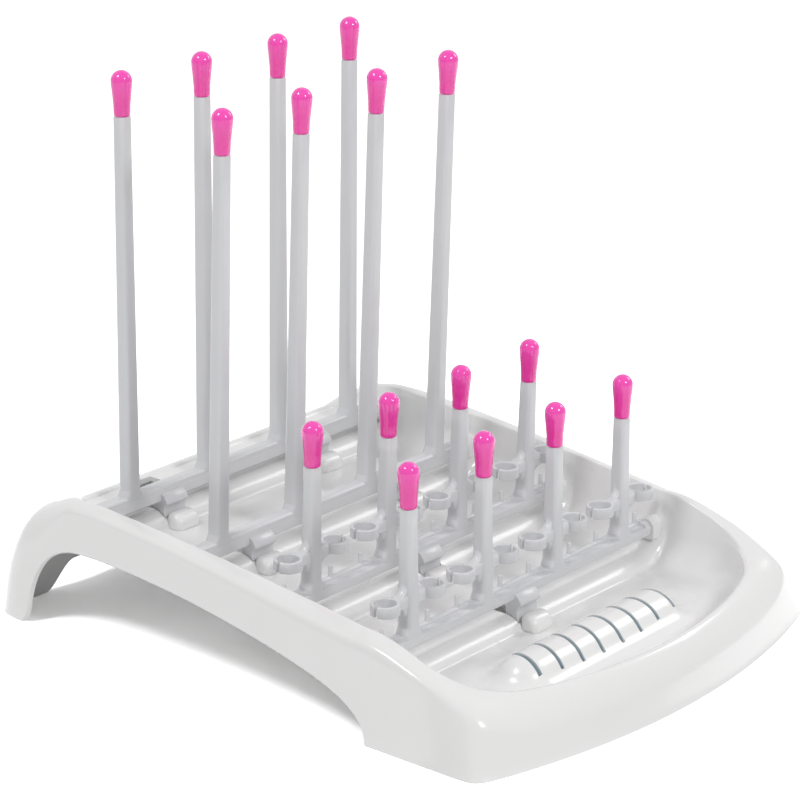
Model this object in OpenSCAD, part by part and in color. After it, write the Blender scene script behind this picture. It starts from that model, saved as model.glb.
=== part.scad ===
// Bottle drying rack: a one-piece moulded tray on two rear legs, four fold-down
// peg bars hinged between its side walls, and a soft tip on each of the sixteen pegs.
// +X is to the right, -Y is the low front, Z = 0 is the table. Millimetres.

/* [Tray] */
// Width across the lower edge of the side skirts
tray_w = 290.6; // [270:0.2:320]
// Depth from the middle of the front edge to the rear legs
tray_d = 367; // [355:1:390]
// Thickness of the moulded walls and floor
wall = 2.6; // [2:0.1:3.2]
// Radius of the bow of the front edge at the table
front_bow_r = 422; // [360:1:500]
// Sharpness of the front corners at the table, higher is sharper
front_corner_k = 20; // [12:1:30]
// Sharpness of the rear corners at the table, higher is sharper
rear_corner_k = 8; // [6:1:12]

/* [Rim] */
// Width between the inner edges of the side rims
rim_w = 251; // [246:0.5:256]
// Distance from the front edge back to the front rim
rim_front_gap = 16.3; // [14:0.1:19]
// Distance from the rear skirt's foot to the rear edge of the deck
rim_rear_gap = 32; // [26:1:36]
// Radius of the rim's front corners
rim_corner_r = 46; // [40:1:52]
// Radius of the rim's rear corners
rim_rear_corner_r = 26; // [20:1:30]
// Radius of the bow of the front rim
rim_bow_r = 265; // [245:1:300]
// Height of the side rims at their highest point
rim_top_z = 73; // [72:0.1:76]
// Height of the side rims where they start to fall to the front
rim_mid_z = 54; // [52:0.1:56]
// Height of the front rim
rim_front_z = 30.4; // [28:0.2:36]
// Height of the deck behind the rear bar
deck_z = 61.7; // [60:0.1:64]
// Shoulder drop of the side and front skirts below the rim
shoulder_h = 3.8; // [3:0.1:6]
// Draft of the inner walls over their height
wall_draft = 2.2; // [1.5:0.1:2.4]
// Radius of the cove between the inner walls and the floor
cove_r = 20; // [14:1:22]

/* [Arches] */
// Height of the crown of the side arches
arch_z = 48; // [44:0.5:50]
// Distance from the rear edge forward to the crown of the side arches
arch_crown_gap = 73.5; // [67:0.5:84]
// Distance from the front edge back to where the side arches land
arch_toe_gap = 96.5; // [91:0.5:104]
// Depth of a rear leg at the table
leg_d = 25.7; // [23:0.1:28]
// Half width of the rear arch at the table
rear_arch_hw = 108; // [100:1:112]
// Height of the rear arch
rear_arch_z = 16.4; // [14:0.2:20]

/* [Floor] */
// Depth from a bar's axis down to the panel in front of it
panel_drop = 19.2; // [18:0.2:20.5]
// Length of the rounded nose under each bar
nose_l = 12; // [10:0.5:14]

/* [Bars] */
// Height of the rear tall bar's axis above the table
bar_top_z = 61.2; // [60:0.2:62]
// Steps down from each bar's axis to the next, rear to front
bar_steps = [9.4, 10.7, 7.4]; // [6:0.1:12]
// Distance between neighbouring bars
bar_pitch = 66.3; // [62:0.1:68]
// Distance from the rear edge forward to the rear bar
bar_rear_gap = 54; // [52.5:0.5:55.5]
// Depth of a bar
bar_d = 8.8; // [8:0.2:10]
// Height of a tall bar
bar_h = 9.4; // [8.5:0.1:10.5]
// Length of a bar between its end pins
bar_l = 229; // [226:0.5:232]
// Radius of a bar's end pins
pin_r = 3; // [2.5:0.1:3.4]
// Length of a bar's end pins
pin_l = 6; // [5:0.2:6.4]
// Radial clearance of the pins in the tray
pin_gap = 0.05; // [0.03:0.01:0.09]
// Forward lean of each row of pegs, rear to front
row_lean = [1.3, 2.7, 1.9, 0.5]; // [0:0.1:3]

/* [Pegs] */
// Distance between neighbouring pegs
peg_pitch = 60; // [56:0.5:62]
// Width of a peg at the bar
peg_base = 9.2; // [8.4:0.2:10]
// Width of a peg below its tip
peg_top = 7.6; // [7:0.2:8]
// Radius of the pegs' corners
peg_corner_r = 2.4; // [1.5:0.1:3]
// Height of a tall peg with its tip, above the bar's axis
tall_h = 241.2; // [230:0.2:260]
// Height of a short peg with its tip, above the bar's axis
short_h = 96.7; // [90:0.1:105]

/* [Tips] */
// Length of a tip
tip_l = 24.3; // [22:0.1:27]
// Radius of a tip at its lower end
tip_base_r = 4.4; // [4.2:0.1:4.6]
// Radius of a tip at its widest
tip_max_r = 5.7; // [5.2:0.1:6.2]
// Radius of the spigot that carries a tip
spigot_r = 2.6; // [2:0.1:3]
// Length of the spigot that carries a tip
spigot_l = 13; // [10:0.5:15]
// Radial clearance of the spigot in the tip
spigot_gap = 0.05; // [0.03:0.01:0.1]

/* [Clip rings] */
// Distance of a ring's centre from its peg
ring_x = 18; // [17:0.5:20]
// Bore radius of a ring
ring_bore_r = 5.8; // [5.4:0.1:6.4]
// Wall thickness of a ring
ring_wall = 1.9; // [1.4:0.1:2.2]
// Height of a ring's band
ring_h = 6; // [5:0.5:8]
// Height of a ring's top above the bar's axis
ring_z = 26.5; // [24:0.5:30]
// Width of the gap in a ring
ring_gap = 2; // [1.5:0.1:3]
// Thickness of the webs between ring and peg
web_w = 3.4; // [2.6:0.2:4.4]
// Radius of the small upright pins
nib_r = 1.3; // [1:0.1:1.6]
// Height of the small upright pins above the rib
nib_h = 6.2; // [5:0.1:8]
// Distance of the small upright pins from a peg
nib_x = 18; // [16:0.5:20]
// Height of the webs above a ring, along the peg
web_top = 9; // [7:0.5:11]
// Height of the webs below a ring, along the peg
web_low = 14; // [11:0.5:15]

/* [Latches] */
// Width of a latch foot
foot_w = 16.8; // [15:0.2:19]
// Depth of a latch foot below the bar's axis
foot_drop = 20; // [19.6:0.1:20.4]
// Length of a latch foot's sole
foot_l = 12.5; // [11:0.5:14]
// Clearance around a latch foot in its slot
foot_gap = 0.6; // [0.5:0.1:1]
// Offsets along the bar of the two feet of a tall bar
tall_foot_x = [-62, 58]; // [-70:1:70]
// Gap between a latch foot and the stop bump in front of it
stop_gap = 0.3; // [0.2:0.1:0.5]
// Height of a stop bump
stop_h = 9; // [7:0.5:10]
// Length of a stop bump
stop_l = 11; // [9:0.5:13]

/* [Basket ridge] */
// Half length of the ribbed ridge in the front basin
ridge_hl = 79; // [70:1:84]
// Height of the ridge above the basin floor
ridge_h = 13.1; // [10:0.1:14]
// Distance from the front edge back to the ridge's crest
ridge_gap = 66.5; // [65:0.5:69]
// Distance from the crest to the ridge's front and rear edges
ridge_foot = 25; // [23:0.5:26]
// Radius of the ridge's crest
ridge_r = 16.5; // [14:0.5:20]
// Number of slits across the ridge
slit_n = 8; // [6:1:9]
// Distance between slits
slit_pitch = 16.1; // [14:0.1:16.5]
// Width of a slit
slit_w = 1.9; // [1.5:0.1:2.6]
// Depth of a slit
slit_d = 2.4; // [1.5:0.1:3]

/* [Hidden] */

ROWS = ["rear_tall", "front_tall", "rear_short", "front_short"];
TRAY_C = [0.93, 0.94, 0.94];
BAR_C = [0.80, 0.81, 0.83];
TIP_C = [0.95, 0.25, 0.62];
EPS = 0.01;
FINE = 48;

// Plan of the tray: half widths, the front middle, and the corner centres
base_hw = tray_w / 2;
rim_hw = rim_w / 2;
front_y = -tray_d / 2;
rear_y = tray_d / 2;
bar_rear_y = rear_y - bar_rear_gap;
arch_crown_y = rear_y - arch_crown_gap;
arch_toe_y = front_y + arch_toe_gap;
leg_y = rear_y - leg_d;
ridge_y = front_y + ridge_gap;
rim_front_y = front_y + rim_front_gap;
rim_rear_y = rear_y - rim_rear_gap;
fc_x = rim_hw - rim_corner_r;
fc_y = rim_front_y + rim_bow_r - sqrt(pow(rim_bow_r - rim_corner_r, 2) - pow(fc_x, 2));
fc_turn = 90 - asin(fc_x / (rim_bow_r - rim_corner_r));
rc_x = rim_hw - rim_rear_corner_r;
rc_y = rim_rear_y - rim_rear_corner_r;

// Places of the bars, rear to front
peg_n = 4;
function bar_y(r) = bar_rear_y - bar_pitch * r;
function bar_z(r) = bar_top_z - (r > 0 ? bar_steps[0] : 0) - (r > 1 ? bar_steps[1] : 0)
    - (r > 2 ? bar_steps[2] : 0);
function is_tall(r) = r < 2;
function peg_x(i) = (i - (peg_n - 1) / 2) * peg_pitch;
function peg_h(r) = (is_tall(r) ? tall_h : short_h) - tip_l;
function foot_x(r) = is_tall(r) ? tall_foot_x : [0];
function panel_z(r) = bar_z(r) - panel_drop;

// Stations on one half of the outline: [rim point, table point, turn to the rear, front weight]
FRONT_N = 7;
CORNER_N = 12;
REAR_N = 5;
function soft_min(a, b, k) = pow(pow(a, -k) + pow(b, -k), -1 / k);
function front_reach(t) =
    let (py = front_y + front_bow_r - fc_y, d = [cos(t), -sin(t)],
        b = fc_x * d[0] - py * d[1], c = fc_x * fc_x + py * py - front_bow_r * front_bow_r)
    -b + sqrt(b * b - c);
function front_corner(t) =
    let (d = [cos(t), -sin(t)],
        s = soft_min((base_hw - fc_x) / max(d[0], 0.001), front_reach(t), front_corner_k))
    [[fc_x, fc_y] + rim_corner_r * d, [fc_x, fc_y] + s * d, 0, smooth(t / 60)];
function rear_corner(t) =
    let (d = [cos(t), sin(t)],
        s = soft_min((base_hw - rc_x) / max(d[0], 0.001), (rear_y - rc_y) / max(d[1], 0.001),
            rear_corner_k))
    [[rc_x, rc_y] + rim_rear_corner_r * d, [rc_x, rc_y] + s * d, t / 90, 0];
function rear_edge(x) = [[x, rim_rear_y], [x, rear_y], 1, 0];
front_end = front_corner(fc_turn);
function front_arc(f) =
    let (a = asin(front_end[0][0] / rim_bow_r) * f, b = asin(front_end[1][0] / front_bow_r) * f)
    [[rim_bow_r * sin(a), rim_front_y + rim_bow_r * (1 - cos(a))],
        [front_bow_r * sin(b), front_y + front_bow_r * (1 - cos(b))], 0, 1];
NOSE_STEPS = 5;
NOSE_BACK = 2.5;
function nose_y(r, i) = bar_y(r) + NOSE_BACK - nose_l * sin(90 * i / NOSE_STEPS);
side_ys = concat([for (f = [0.35:0.35:1]) fc_y + (arch_toe_y - fc_y) * f],
    [for (y = [0, 2, 5]) arch_toe_y + y],
    [for (r = [3:-1:0], i = [NOSE_STEPS:-1:-1])
        let (y = i < 0 ? bar_y(r) + bar_pitch / 2 : nose_y(r, i))
        if (y < rc_y - 1) y]);
// The rear corner has extra stations where the leg's inner edge drops to the table
LEG_TURN = atan((leg_y - rc_y) / (base_hw - rc_x));
rear_turns = concat(
    [for (i = [0:CORNER_N]) let (t = 90 * i / CORNER_N) if (t < LEG_TURN - 2.5) t],
    [for (d = [-2, -0.7, 0, 0.6]) LEG_TURN + d],
    [for (i = [0:CORNER_N]) let (t = 90 * i / CORNER_N) if (t > LEG_TURN + 1.2) t]);
REAR_EDGE_X = [11, 13.5, 16.5, 20];
half_outline = concat(
    [for (i = [0:FRONT_N - 1]) front_arc(i / FRONT_N)],
    [for (i = [0:CORNER_N]) front_corner(fc_turn * (1 - i / CORNER_N))],
    [for (y = side_ys) [[rim_hw, y], [base_hw, y], 0, 0]],
    [for (t = rear_turns) rear_corner(t)],
    [for (d = REAR_EDGE_X) if (rear_arch_hw - d < rc_x - 1) rear_edge(rear_arch_hw - d)],
    [for (i = [1:REAR_N]) rear_edge((rear_arch_hw - 24) * (1 - i / REAR_N))]);
function flip_x(p) = [-p[0], p[1]];
half_n = len(half_outline);
outline = concat(half_outline,
    [for (i = [half_n - 2:-1:1])
        let (s = half_outline[i]) [flip_x(s[0]), flip_x(s[1]), s[2], s[3]]]);

// Heights along the outline
function smooth(f) = let (g = min(max(f, 0), 1)) g * g * (3 - 2 * g);
SIDE_BULGE = 1.5;
FALL_Y = front_y + 111.5;
FALL_END = 7;
RIM_LEVEL_Y = rear_y - 73.5;
DECK_TURN = 0.38;
function rim_side_z(y) =
    let (f = min(max((RIM_LEVEL_Y - y) / (RIM_LEVEL_Y - FALL_Y), 0), 1))
    rim_top_z + (rim_mid_z - rim_top_z) * f + SIDE_BULGE * 4 * f * (1 - f);
function rim_z(s) =
    let (y = s[0][1], fall = smooth((FALL_Y - y) / (FALL_Y - rim_front_y - FALL_END)))
    rim_side_z(y) + (rim_front_z - rim_mid_z) * fall 
        + (deck_z - rim_top_z) * smooth((s[2] - DECK_TURN) / (1 - DECK_TURN));
ARCH_POWER = 1.75;
TOE_SHARP = 16;
LEG_SHARP = 2.6;
LEG_POWER = 0.32;
REAR_ARCH_SIDE = 18;
ARCH_FALL = 0.00303;
function side_arch(y) =
    y > arch_crown_y
    ? let (f = (y - arch_crown_y) / (leg_y - arch_crown_y))
    arch_z * pow(max(1 - pow(f, LEG_SHARP), 0), LEG_POWER)
    : let (d = arch_crown_y - y)
    (arch_z - ARCH_FALL * pow(d, ARCH_POWER))
        * pow(max(1 - pow(d / (arch_crown_y - arch_toe_y), TOE_SHARP), 0), 0.5);
function rear_arch(x) = rear_arch_z * smooth((rear_arch_hw - abs(x)) / REAR_ARCH_SIDE);
function foot_z(s) =
    let (p = s[1])
    p[1] < arch_toe_y ? 0
    : p[1] < leg_y ? side_arch(p[1])
    : abs(p[0]) < rear_arch_hw ? rear_arch(p[0]) : 0;

// Floor height along Y, with a rounded nose under each bar
BAR_ROOM = 8.5;
DECK_SINK = 1.1;
function floor_z(y) =
    y > bar_y(0) + BAR_ROOM ? deck_z - DECK_SINK
    : y > bar_y(0) + NOSE_BACK ? bar_z(0) - panel_drop / 2
    : let (r = min(floor((bar_y(0) + NOSE_BACK - y) / bar_pitch), 3),
        from_z = r == 0 ? bar_z(0) - panel_drop / 2 : panel_z(r - 1),
        f = min((bar_y(r) + NOSE_BACK - y) / nose_l, 1))
    from_z + (panel_z(r) - from_z) * (1 - sqrt(1 - f * f));

// Cross-section of the rim and skirt at a station, from the skirt's lower edge over the
// rim, down the inner wall and its cove, then back up inside the hollow
SKIRT_N = 8;
INNER_N = 4;
COVE_N = 4;
LIP = 0.8;
LIP_DROP = 1.1;
SAMPLE_POWER = 2.2;
// How far out and down the shoulder runs, and its fullness: at the side, rear and front
SHOULDER_OUT = [0.58, 0.97, 0.7];
SHOULDER_DOWN = [shoulder_h, 0.9 * deck_z, 0.5 * rim_front_z];
SHOULDER_POWER = [2.6, 2.4, 1.6];
REAR_TURN = 0.67;
function by_place(v, s) = v[0] + (v[1] - v[0]) * smooth(s[2] / REAR_TURN) + (v[2] - v[0]) * s[3];
function skirt_out(s, drop, reach, top) =
    let (so = reach * by_place(SHOULDER_OUT, s), sd = by_place(SHOULDER_DOWN, s),
        n = by_place(SHOULDER_POWER, s))
    drop < sd ? so * pow(max(1 - pow(1 - drop / sd, n), 0), 1 / n)
    : so + (reach - so) * (drop - sd) / (top - sd);
function wall_z(s) = min(floor_z(max(s[0][1], rim_front_y)), rim_z(s) - LIP_DROP);
function wall_q(s) = -LIP - wall_draft * (rim_z(s) - wall_z(s)) / rim_mid_z;
function wall_r(s) = min(cove_r, rim_z(s) - LIP - wall_z(s));
function cove_point(s, a) =
    [wall_q(s) - wall_r(s) * (1 - cos(a)), wall_z(s) + wall_r(s) * (1 - sin(a))];
function section(s) =
    let (zr = rim_z(s), zf = foot_z(s), reach = norm(s[1] - s[0]),
        back = wall - LIP, inner = (reach - wall - back) / reach)
    concat(
        [for (i = [SKIRT_N:-1:0]) let (d = (zr - zf) * pow(i / SKIRT_N, SAMPLE_POWER))
            [skirt_out(s, d, reach, zr), zr - d]],
        [for (i = [0:COVE_N]) cove_point(s, 90 * i / COVE_N)],
        [for (i = [COVE_N:-1:0]) cove_point(s, 90 * i / COVE_N) + [LIP, -wall]],
        [[wall_q(s) + wall, cove_point(s, 0)[1] - wall]],
        [for (i = [0:INNER_N]) let (d = (zr - wall - zf) * pow(i / INNER_N, SAMPLE_POWER))
            [back + inner * skirt_out(s, d, reach, zr - wall), zr - wall - d]]);
function place(s, q) =
    let (e = (s[1] - s[0]) / norm(s[1] - s[0]), p = s[0] + e * q[0])
    [p[0], p[1], q[1]];

module rim_shell() {
    rings = [for (s = outline) [for (q = section(s)) place(s, q)]];
    n = len(rings);
    m = len(rings[0]);
    polyhedron(points = [for (g = rings) each g],
        faces = [for (i = [0:n - 1], j = [0:m - 1])
            let (a = i * m + j, b = i * m + (j + 1) % m,
                c = ((i + 1) % n) * m + (j + 1) % m, d = ((i + 1) % n) * m + j)
            each [[a, b, c], [a, c, d]]],
        convexity = 10);
}

// Floor panels: the stepped profile runs across the tray and is trimmed inside the coves
floor_ys = concat([rim_rear_y + 1, bar_y(0) + BAR_ROOM + EPS, bar_y(0) + BAR_ROOM - EPS],
    [for (r = [0:3], i = [0:NOSE_STEPS]) nose_y(r, i) - EPS],
    [rim_front_y - 1]);
SLAB_LAP = 1;
module floor_slab() {
    intersection() {
        rotate([90, 0, 90])
            linear_extrude(tray_w, center = true)
                polygon(concat([for (y = floor_ys) [y, floor_z(y)]],
                    [for (i = [len(floor_ys) - 1:-1:0])
                        [floor_ys[i], floor_z(floor_ys[i]) - wall]]));
        linear_extrude(rim_top_z)
            polygon([for (s = outline)
                let (p = place(s, cove_point(s, 90) + [SLAB_LAP, 0])) [p[0], p[1]]]);
    }
}

// Bosses on the side walls that carry the bars' end pins
BOSS_R = 6;
BOSS_GAP = 0.4;
RIB_TOP = 4.8;
boss_x = bar_l / 2 + BOSS_GAP;
module boss(r) {
    translate([boss_x, bar_y(r), bar_z(r)]) {
        rotate([0, 90, 0])
            cylinder(r = BOSS_R, h = rim_hw - boss_x - 1, $fn = FINE);
        translate([0, -BOSS_R, -BOSS_R - 0.5])
            cube([rim_hw - boss_x - 1, 2 * BOSS_R, BOSS_R + 0.5]);
    }
}
module boss_bore(r) {
    translate([boss_x - 1, bar_y(r), bar_z(r)])
        rotate([0, 90, 0])
            cylinder(r = pin_r + pin_gap, h = pin_l + 1 + 0.3, $fn = FINE);
}

// Room in the coves for a bar's edges as it turns
SWING_GAP = 0.5;
swing_r = norm([bar_d / 2, max(bar_h / 2, RIB_TOP)]) + SWING_GAP;
module bar_room(r) {
    translate([-boss_x, bar_y(r), bar_z(r)])
        rotate([0, 90, 0])
            cylinder(r = swing_r, h = 2 * boss_x, $fn = FINE);
}

// Stop bump in front of a latch foot, and the slot that the foot swings through
foot_front = bar_d / 2 + 3;
function stop_back(r) = foot_front * cos(row_lean[r]) - foot_drop * sin(row_lean[r]) + stop_gap;
slot_back = norm([foot_l - foot_front, foot_drop]) + foot_gap;
STOP_EDGE_R = 6;
module stop_bump(r, x) {
    translate([x, bar_y(r) - stop_back(r), panel_z(r)])
        rotate([90, 0, -90])
            linear_extrude(foot_w, center = true) {
                translate([0, -wall / 2])
                    square([stop_l, stop_h - STOP_EDGE_R + wall / 2]);
                square([stop_l - STOP_EDGE_R, stop_h]);
                translate([stop_l - STOP_EDGE_R, stop_h - STOP_EDGE_R])
                    circle(r = STOP_EDGE_R, $fn = FINE);
            }
}
module foot_slot(r, x) {
    translate([x - foot_w / 2 - foot_gap, bar_y(r) - stop_back(r), panel_z(r) - 2 * wall])
        cube([foot_w + 2 * foot_gap, slot_back + stop_back(r), panel_drop + 4 * wall]);
}

// Ribbed ridge in the front basin: a rounded crest with hollow feet, the same section
// turned round at both ends, and slits that fan out to the front
RIDGE_STEPS = 7;
RIDGE_SINK = 1.5;
ridge_turn = 2 * atan(ridge_h / ridge_foot);
ridge_foot_r = ridge_foot / sin(ridge_turn) - ridge_r;
function ridge_crest(i) =
    let (a = ridge_turn * i / RIDGE_STEPS)
    [ridge_r * sin(a), ridge_h - ridge_r * (1 - cos(a))];
function ridge_hollow(i) =
    let (a = ridge_turn * (1 - i / RIDGE_STEPS))
    [ridge_foot - ridge_foot_r * sin(a), ridge_foot_r * (1 - cos(a))];
ridge_curve = concat([for (i = [0:RIDGE_STEPS]) ridge_crest(i)],
    [for (i = [1:RIDGE_STEPS]) ridge_hollow(i)]);
ridge_half = concat([[0, -RIDGE_SINK]], ridge_curve, [[ridge_foot, -RIDGE_SINK]]);
SLIT_BACK = 7;
SLIT_FRONT = 16.5;
SLIT_SHORTER = 3.5;
SLIT_FAN = 410;
function slit_curve(reach) =
    concat([for (i = [RIDGE_STEPS:-1:1])
            let (p = ridge_crest(i)) if (p[0] < SLIT_BACK) [-p[0], p[1]]],
        [for (p = ridge_curve) if (p[0] < reach) p]);
module slit(reach) {
    rotate([90, 0, -90])
        linear_extrude(slit_w, center = true)
            intersection() {
                translate([-SLIT_BACK, -RIDGE_SINK])
                    square([SLIT_BACK + reach, ridge_h + 2 * RIDGE_SINK]);
                polygon(concat(
                    [[-SLIT_BACK - 1, ridge_h + 5], [-SLIT_BACK - 1, ridge_h - 2 * slit_d]],
                    [for (p = slit_curve(reach + 3)) p - [0, slit_d]],
                    [[reach + 3, ridge_h + 5]]));
            }
}
module ridge() {
    end_x = ridge_hl - ridge_foot;
    mid = (slit_n - 1) / 2;
    translate([0, ridge_y, panel_z(3)])
        difference() {
            union() {
                rotate([90, 0, -90])
                    linear_extrude(2 * end_x, center = true) {
                        polygon(ridge_half);
                        mirror([1, 0]) polygon(ridge_half);
                    }
                for (side = [-1, 1])
                    translate([side * end_x, 0, 0])
                        rotate_extrude($fn = FINE)
                            polygon(ridge_half);
            }
            for (i = [0:slit_n - 1])
                let (x = (i - mid) * slit_pitch)
                    translate([x, 0, 0])
                        rotate([0, 0, atan(x / SLIT_FAN)])
                            slit(SLIT_FRONT - SLIT_SHORTER * pow((i - mid) / mid, 2));
        }
}

module tray() {
    color(TRAY_C)
        difference() {
            union() {
                rim_shell();
                floor_slab();
                for (r = [0:3], side = [0, 1]) mirror([side, 0, 0]) boss(r);
                for (r = [0:3], x = foot_x(r)) stop_bump(r, x);
                ridge();
            }
            for (r = [0:3], side = [0, 1]) mirror([side, 0, 0]) boss_bore(r);
            for (r = [0:3]) bar_room(r);
            for (r = [0:3], x = foot_x(r)) foot_slot(r, x);
        }
}

// Carries a bar's pieces to its hinge pins, in the row's lean
module on_pins(r) {
    translate([0, bar_y(r), bar_z(r)])
        rotate([row_lean[r], 0, 0])
            children();
}

// Outlines along the bar: a tall bar is a plain rail, a short bar a low flange with a rib
BAR_EDGE_R = 2;
FLANGE_TOP = 2.5;
RIB_W = 3.6;
module bar_profile(tall) {
    if (tall)
        rail(bar_d, bar_h);
    else
        union() {
            translate([-bar_d / 2, -bar_h / 2])
                square([bar_d, FLANGE_TOP + bar_h / 2]);
            translate([bar_d / 2 - RIB_W, -bar_h / 2])
                square([RIB_W, RIB_TOP + bar_h / 2 - RIB_W / 2]);
            translate([bar_d / 2 - RIB_W / 2, RIB_TOP - RIB_W / 2])
                circle(r = RIB_W / 2, $fn = FINE);
        }
}
// Rail section with a square front edge and rounded rear edges
module rail(d, h) {
    translate([-d / 2, -h / 2])
        square([d - BAR_EDGE_R, h]);
    translate([-d / 2, -h / 2 + BAR_EDGE_R])
        square([d, h - 2 * BAR_EDGE_R]);
    for (z = [-1, 1])
        translate([d / 2 - BAR_EDGE_R, z * (h / 2 - BAR_EDGE_R)])
            circle(r = BAR_EDGE_R, $fn = FINE);
}

module rounded_square(w, r) {
    offset(r = r, $fn = 24)
        square(w - 2 * r, center = true);
}

module peg(h) {
    linear_extrude(h, scale = peg_top / peg_base)
        rounded_square(peg_base, peg_corner_r);
    translate([0, 0, h - 1])
        cylinder(r = spigot_r, h = spigot_l + 1, $fn = FINE);
}

// Latch foot under a bar: its front meets the bar's face and its heel is undercut
HEEL_R = 6;
HEEL_IN = 3.2;
FOOT_TOP = 1.4;
module foot() {
    rotate([90, 0, -90])
        linear_extrude(foot_w, center = true)
            difference() {
                polygon([[bar_d / 2, -FOOT_TOP], [foot_front, -foot_drop],
                    [foot_front - foot_l, -foot_drop], [foot_front - foot_l, 1 - foot_drop],
                    [-bar_d / 2, -foot_drop / 2], [-bar_d / 2, 0], [0, 0]]);
                translate([-bar_d / 2 - HEEL_R + HEEL_IN, -bar_h / 2 - HEEL_R])
                    circle(r = HEEL_R, $fn = FINE);
            }
}

// Clip ring beside a short peg, open on the side away from the peg, with hollow-edged webs
ring_r = ring_bore_r + ring_wall;
PEG_SIDE = peg_base / 2 - 1;
WEB_STEP = 15;
module clip_web() {
    reach = ring_x - ring_bore_r - ring_wall / 2;
    low = ring_z - ring_h;
    rotate([90, 0, 0])
        linear_extrude(web_w, center = true)
            polygon(concat([[0, low - web_low], [0, ring_z + web_top]],
                [for (a = [0:WEB_STEP:90]) [PEG_SIDE + (reach - PEG_SIDE) * (1 - cos(a)),
                    ring_z + web_top * (1 - sin(a))]],
                [for (a = [90:-WEB_STEP:0]) [PEG_SIDE + (reach - PEG_SIDE) * (1 - cos(a)),
                    low - web_low * (1 - sin(a))]]));
}
module clip_ring() {
    translate([ring_x, 0, ring_z - ring_h])
        difference() {
            cylinder(r = ring_r, h = ring_h, $fn = FINE);
            translate([0, 0, -1])
                cylinder(r = ring_bore_r, h = ring_h + 2, $fn = FINE);
            translate([0, -ring_gap / 2, -1])
                cube([ring_r + 1, ring_gap, ring_h + 2]);
        }
    clip_web();
}

module nib() {
    translate([0, bar_d / 2 - RIB_W / 2, 0])
        cylinder(r = nib_r, h = RIB_TOP + nib_h, $fn = 24);
}

module bar(r) {
    color(BAR_C)
        on_pins(r) {
            rotate([90, 0, 90])
                linear_extrude(bar_l, center = true)
                    bar_profile(is_tall(r));
            for (side = [0, 1])
                mirror([side, 0, 0])
                    translate([bar_l / 2 - 1, 0, 0])
                        rotate([0, 90, 0])
                            cylinder(r = pin_r, h = pin_l + 1, $fn = FINE);
            for (i = [0:peg_n - 1])
                translate([peg_x(i), 0, 0]) {
                    peg(peg_h(r));
                    if (!is_tall(r))
                        for (side = [0, 1])
                            mirror([side, 0, 0]) {
                                clip_ring();
                                translate([nib_x, 0, 0]) nib();
                            }
                }
            for (x = foot_x(r))
                translate([x, 0, 0]) foot();
        }
}

// Soft tip: a bulb with a blind socket that sits over the peg's spigot
TIP_EDGE_R = 0.8;
SPIGOT_END = 0.3;
TIP_SHAPE = [[0.32, 0.14], [0.64, 0.55], [0.87, 0.9], [1, 1]];
function tip_r(f) = tip_base_r + (tip_max_r - tip_base_r) * f;
module tip(r, i) {
    bulb_z = tip_l - tip_max_r;
    color(TIP_C)
        on_pins(r)
            translate([peg_x(i), 0, peg_h(r)])
                difference() {
                    union() {
                        rotate_extrude($fn = FINE)
                            polygon(concat(
                                [[0, 0], [tip_base_r - TIP_EDGE_R, 0], [tip_base_r, TIP_EDGE_R]],
                                [for (p = TIP_SHAPE) [tip_r(p[1]), p[0] * bulb_z]],
                                [[0, bulb_z]]));
                        translate([0, 0, bulb_z])
                            sphere(r = tip_max_r, $fn = FINE);
                    }
                    translate([0, 0, -1])
                        cylinder(r = spigot_r + spigot_gap, h = spigot_l + 1 + SPIGOT_END,
                            $fn = FINE);
                }
}

tray();
for (r = [0:3]) {
    bar(r);
    for (i = [0:peg_n - 1])
        tip(r, i);
}
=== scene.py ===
"""Bottle drying rack: a moulded tray on two rear legs, four fold-down peg bars and sixteen
soft tips, modelled over the rack's rigid frame and set on a plain pale stage.

Lengths in the properties are metres; the outlines below are worked out in millimetres in
the frame's own axes: +X right, -Y towards the low front, +Z up, Z = 0 on the table."""

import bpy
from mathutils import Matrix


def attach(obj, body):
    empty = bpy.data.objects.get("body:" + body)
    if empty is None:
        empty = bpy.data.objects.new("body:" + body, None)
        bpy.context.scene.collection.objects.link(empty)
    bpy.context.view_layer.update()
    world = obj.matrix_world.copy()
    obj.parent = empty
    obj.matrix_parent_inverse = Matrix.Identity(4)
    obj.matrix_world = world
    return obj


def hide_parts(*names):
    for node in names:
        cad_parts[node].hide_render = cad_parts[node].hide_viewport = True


bl_info = {
    "name": "Bottle Drying Rack",
    "version": (1, 0, 0),
    "blender": (4, 5, 0),
    "location": "View3D > Sidebar > Rack",
    "description": "Builds a drying rack's tray, peg bars and soft tips on its frame",
    "category": "Add Mesh",
}

import math

import bpy
from bpy.props import FloatProperty, FloatVectorProperty, PointerProperty
from mathutils import Matrix, Vector

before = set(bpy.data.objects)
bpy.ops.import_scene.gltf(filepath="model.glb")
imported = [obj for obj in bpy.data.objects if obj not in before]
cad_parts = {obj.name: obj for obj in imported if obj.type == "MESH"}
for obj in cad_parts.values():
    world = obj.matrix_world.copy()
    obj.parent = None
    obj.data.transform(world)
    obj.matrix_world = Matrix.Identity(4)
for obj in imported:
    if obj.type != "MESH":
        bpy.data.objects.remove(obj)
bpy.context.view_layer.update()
MM = 0.001

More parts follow.
